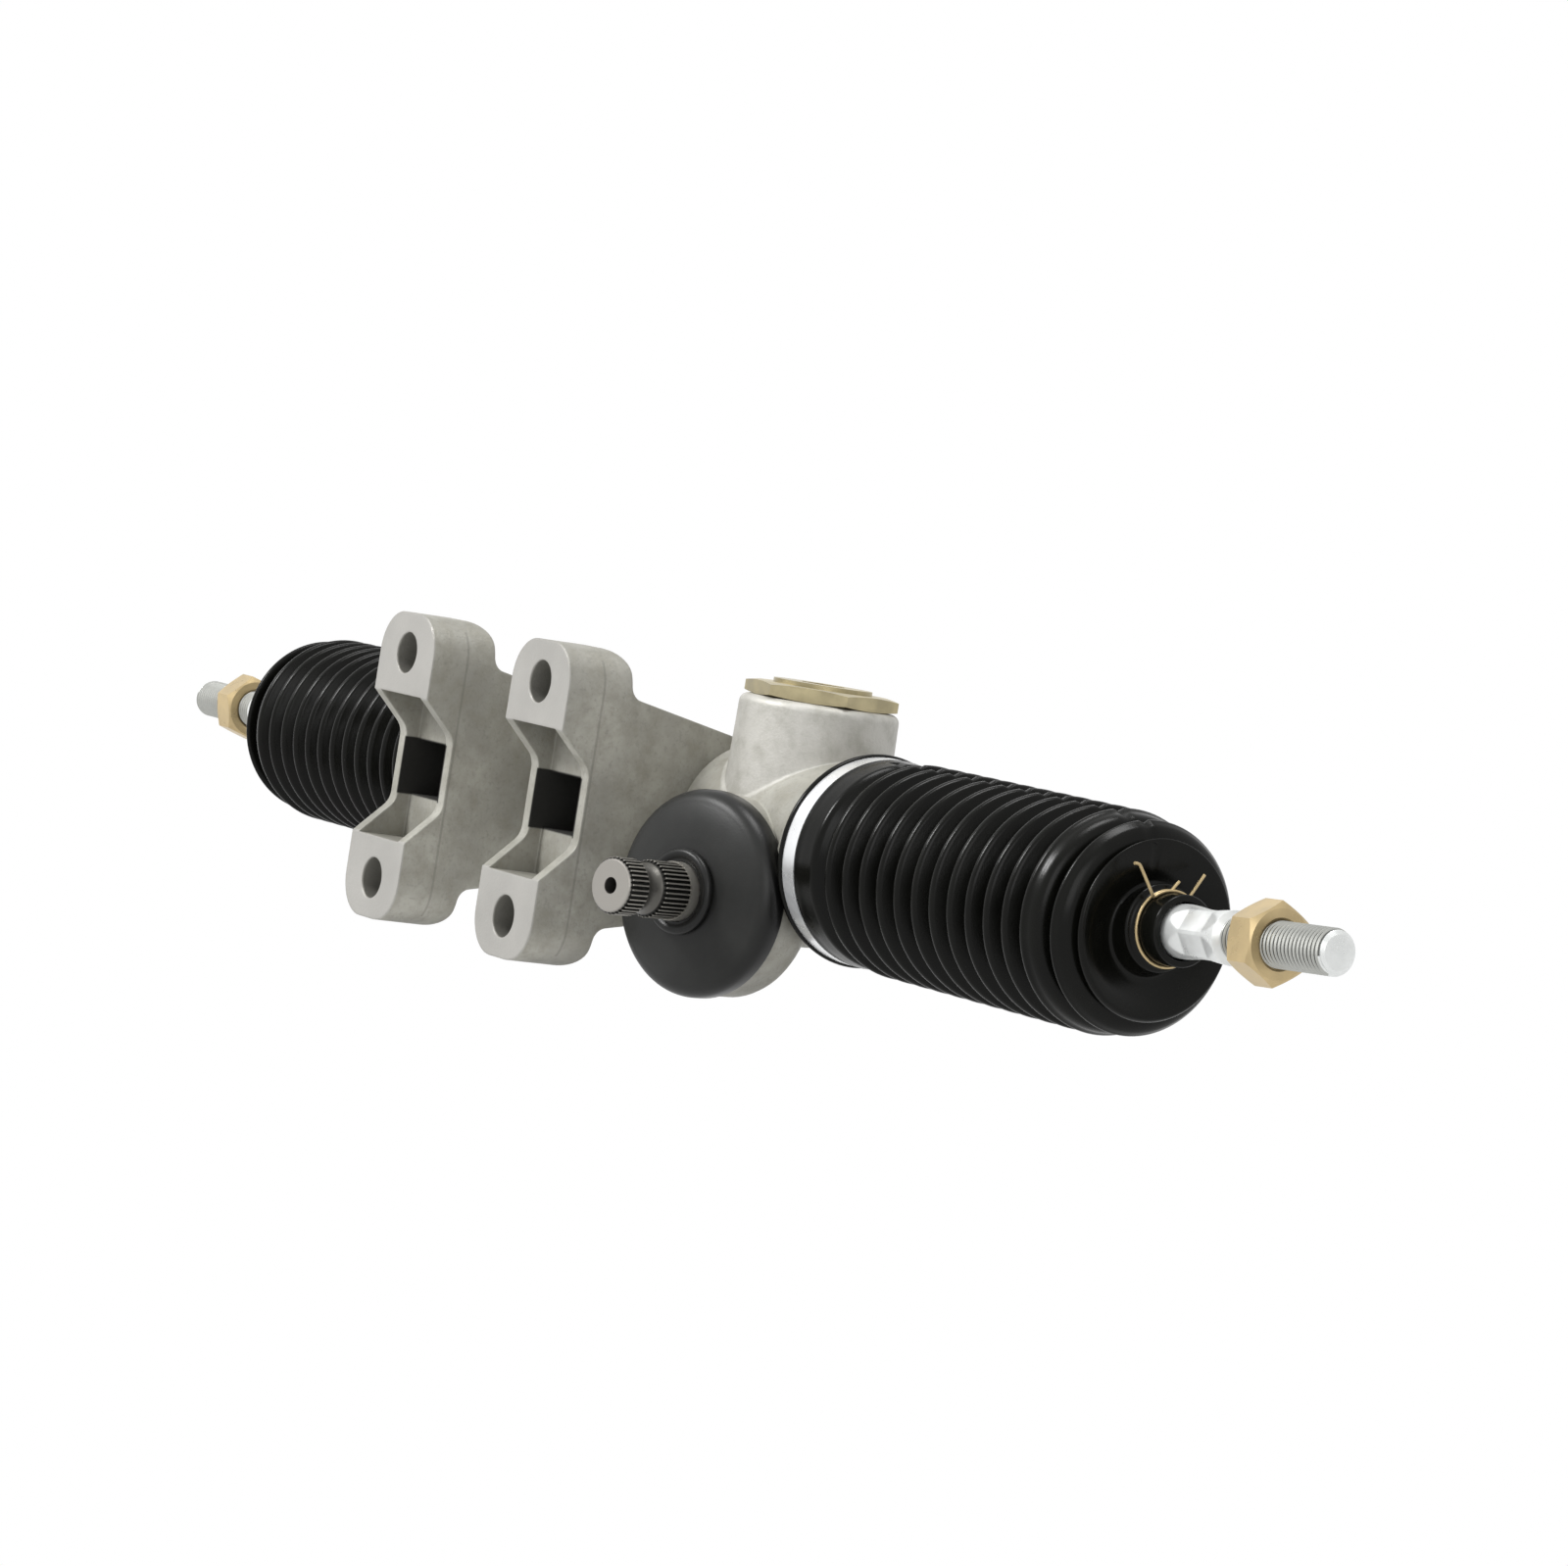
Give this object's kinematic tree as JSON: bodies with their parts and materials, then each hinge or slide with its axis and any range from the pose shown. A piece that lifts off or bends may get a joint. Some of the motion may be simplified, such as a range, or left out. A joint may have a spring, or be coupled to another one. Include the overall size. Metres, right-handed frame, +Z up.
{
  "type": "steering rack",
  "caption": "Manual rack and pinion steering gear with a cast housing, hollow bolt-on brackets, rubber bellows, a splined inclined input shaft and threaded inner tie rods.",
  "frame": {"origin": "centre of the mounting holes, on the front plane of the bracket ears", "axes": "+X along the rack towards the pinion end, -Y out of the ears' faces towards the input shaft, +Z up along the yoke adjuster"},
  "size_m": [0.6302, 0.1008, 0.0906],
  "materials": {
    "cast_aluminium": "as-cast, machined on the ears",
    "nylon": "plain",
    "black_rubber": "satin",
    "grey_rubber": "matt",
    "yellow_zinc": "yellow passivated",
    "yellow_wire": "yellow passivated wire",
    "zinc_plate": "bright zinc",
    "bright_steel": "polished band",
    "shaft_steel": "ground and oiled",
    "bearing_steel": "polished",
    "spring_steel": "oiled",
    "bronze": "sintered"
  },
  "bodies": {
    "housing": {"gear_housing": "cast_aluminium", "rack_bush": "nylon", "rack_yoke": "cast_aluminium", "yoke_pad": "nylon", "yoke_o_ring": "black_rubber", "yoke_spring": "spring_steel", "yoke_adjuster_plug": "yellow_zinc", "yoke_lock_nut": "yellow_zinc", "pinion_bearing_outer": "bearing_steel", "bearing_circlip": "spring_steel", "pinion_oil_seal": "black_rubber", "pinion_lower_bush": "bronze", "pinion_end_cap": "zinc_plate", "pinion_boot": "grey_rubber", "left_bellows": "black_rubber", "right_bellows": "black_rubber", "left_boot_band": "bright_steel", "right_boot_band": "bright_steel"},
    "rack": {"rack_bar": "shaft_steel", "left_ball_housing": "zinc_plate", "right_ball_housing": "zinc_plate", "left_lock_washer": "spring_steel", "right_lock_washer": "spring_steel", "left_travel_stop": "black_rubber", "right_travel_stop": "black_rubber"},
    "pinion": {"pinion_shaft": "shaft_steel", "pinion_bearing_inner": "bearing_steel", "shaft_circlip": "spring_steel"},
    "bearing_cage": {"pinion_bearing_balls": "bearing_steel", "pinion_bearing_cage": "nylon"},
    "left_seat": {"left_ball_seat": "nylon"},
    "left_rod": {"left_tie_rod": "zinc_plate", "left_jam_nut": "yellow_zinc", "left_boot_clip": "yellow_wire"},
    "right_seat": {"right_ball_seat": "nylon"},
    "right_rod": {"right_tie_rod": "zinc_plate", "right_jam_nut": "yellow_zinc", "right_boot_clip": "yellow_wire"}
  },
  "joints": [
    {"name": "rack_slide", "type": "slide", "parent": "housing", "child": "rack", "axis": [1, 0, 0], "range_m": [-0.057, 0.06], "deforming": ["left_bellows", "right_bellows"]},
    {"name": "pinion_spin", "type": "hinge", "parent": "housing", "child": "pinion", "pos_m": [0.0865, 0.064, -0.0164], "axis": [0.2622, -0.965, 0], "range_deg": [-437, 415.5]},
    {"name": "bearing_cage_spin", "type": "hinge", "parent": "housing", "child": "bearing_cage", "pos_m": [0.0865, 0.064, -0.0164], "axis": [0.2622, -0.965, 0], "range_deg": [-178.5, 169.5]},
    {"name": "left_rod_yaw", "type": "hinge", "parent": "rack", "child": "left_seat", "pos_m": [-0.2, 0.064, 0], "axis": [0, 0, 1], "range_deg": [-15, 15]},
    {"name": "left_rod_pitch", "type": "hinge", "parent": "left_seat", "child": "left_rod", "pos_m": [-0.2, 0.064, 0], "axis": [0, 1, 0], "range_deg": [-15.2, 14.8]},
    {"name": "right_rod_yaw", "type": "hinge", "parent": "rack", "child": "right_seat", "pos_m": [0.2421, 0.064, 0], "axis": [0, 0, 1], "range_deg": [-15, 15]},
    {"name": "right_rod_pitch", "type": "hinge", "parent": "right_seat", "child": "right_rod", "pos_m": [0.2421, 0.064, 0], "axis": [0, -1, 0], "range_deg": [-18.5, 11.5]}
  ],
  "couplings": [
    {"joint": "pinion_spin", "follows": "rack_slide", "rad_per_m": -126.98},
    {"joint": "bearing_cage_spin", "follows": "rack_slide", "rad_per_m": -51.767}
  ]
}
